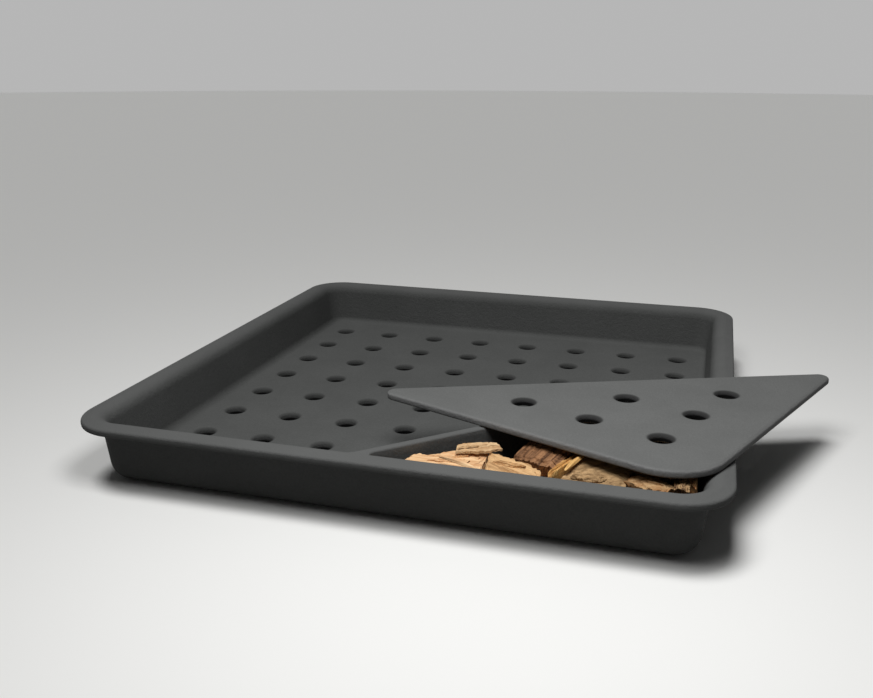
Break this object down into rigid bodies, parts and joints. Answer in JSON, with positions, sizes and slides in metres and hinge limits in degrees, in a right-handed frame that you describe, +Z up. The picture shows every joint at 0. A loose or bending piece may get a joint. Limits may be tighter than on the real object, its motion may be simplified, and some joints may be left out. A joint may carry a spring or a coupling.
{
  "type": "cast iron smoker tray",
  "caption": "Square cast iron charcoal tray with a perforated floor, a diagonal rib that cuts off a corner pocket for wood chips, and a loose triangular vented lid.",
  "frame": {"origin": "on the flat base, under the middle of the rim", "axes": "+Z up, +X to the right seen from the front, -Y the front; the chip pocket is in the +X, -Y corner"},
  "size_m": [0.417, 0.374, 0.0448],
  "materials": {
    "cast_iron": "matt dark grey, fine sand-cast grain",
    "pale_wood": "split, unfinished, pale",
    "tan_wood": "split, unfinished, tan",
    "brown_wood": "end grain and bark, dark brown",
    "grey_wood": "weathered, greyish",
    "yellow_wood": "split, yellow",
    "orange_wood": "split, orange brown"
  },
  "bodies": {
    "tray": {"tray": "cast_iron", "chip_long": "pale_wood", "chip_small": "pale_wood", "chip_broad": "pale_wood", "chip_end_grain": "brown_wood", "chip_sliver": "yellow_wood", "chip_grey": "grey_wood", "chip_tan": "tan_wood", "chip_striped": "brown_wood", "chip_orange": "orange_wood", "chip_covered_front": "tan_wood", "chip_covered_right": "pale_wood", "chip_covered_back": "grey_wood", "chip_middle_1": "pale_wood", "chip_middle_2": "tan_wood", "chip_middle_3": "pale_wood", "chip_middle_4": "grey_wood", "chip_middle_5": "tan_wood", "chip_middle_6": "brown_wood", "chip_middle_7": "pale_wood", "chip_lower_1": "tan_wood", "chip_lower_2": "pale_wood", "chip_lower_3": "grey_wood", "chip_lower_4": "pale_wood", "chip_lower_5": "brown_wood", "chip_lower_6": "tan_wood", "chip_lower_7": "pale_wood"},
    "lid": {"lid": "cast_iron"}
  },
  "joints": [
    {"name": "lid_lift", "type": "slide", "parent": "tray", "child": "lid", "axis": [0, 0, 1], "range_m": [0, 0.08]}
  ]
}
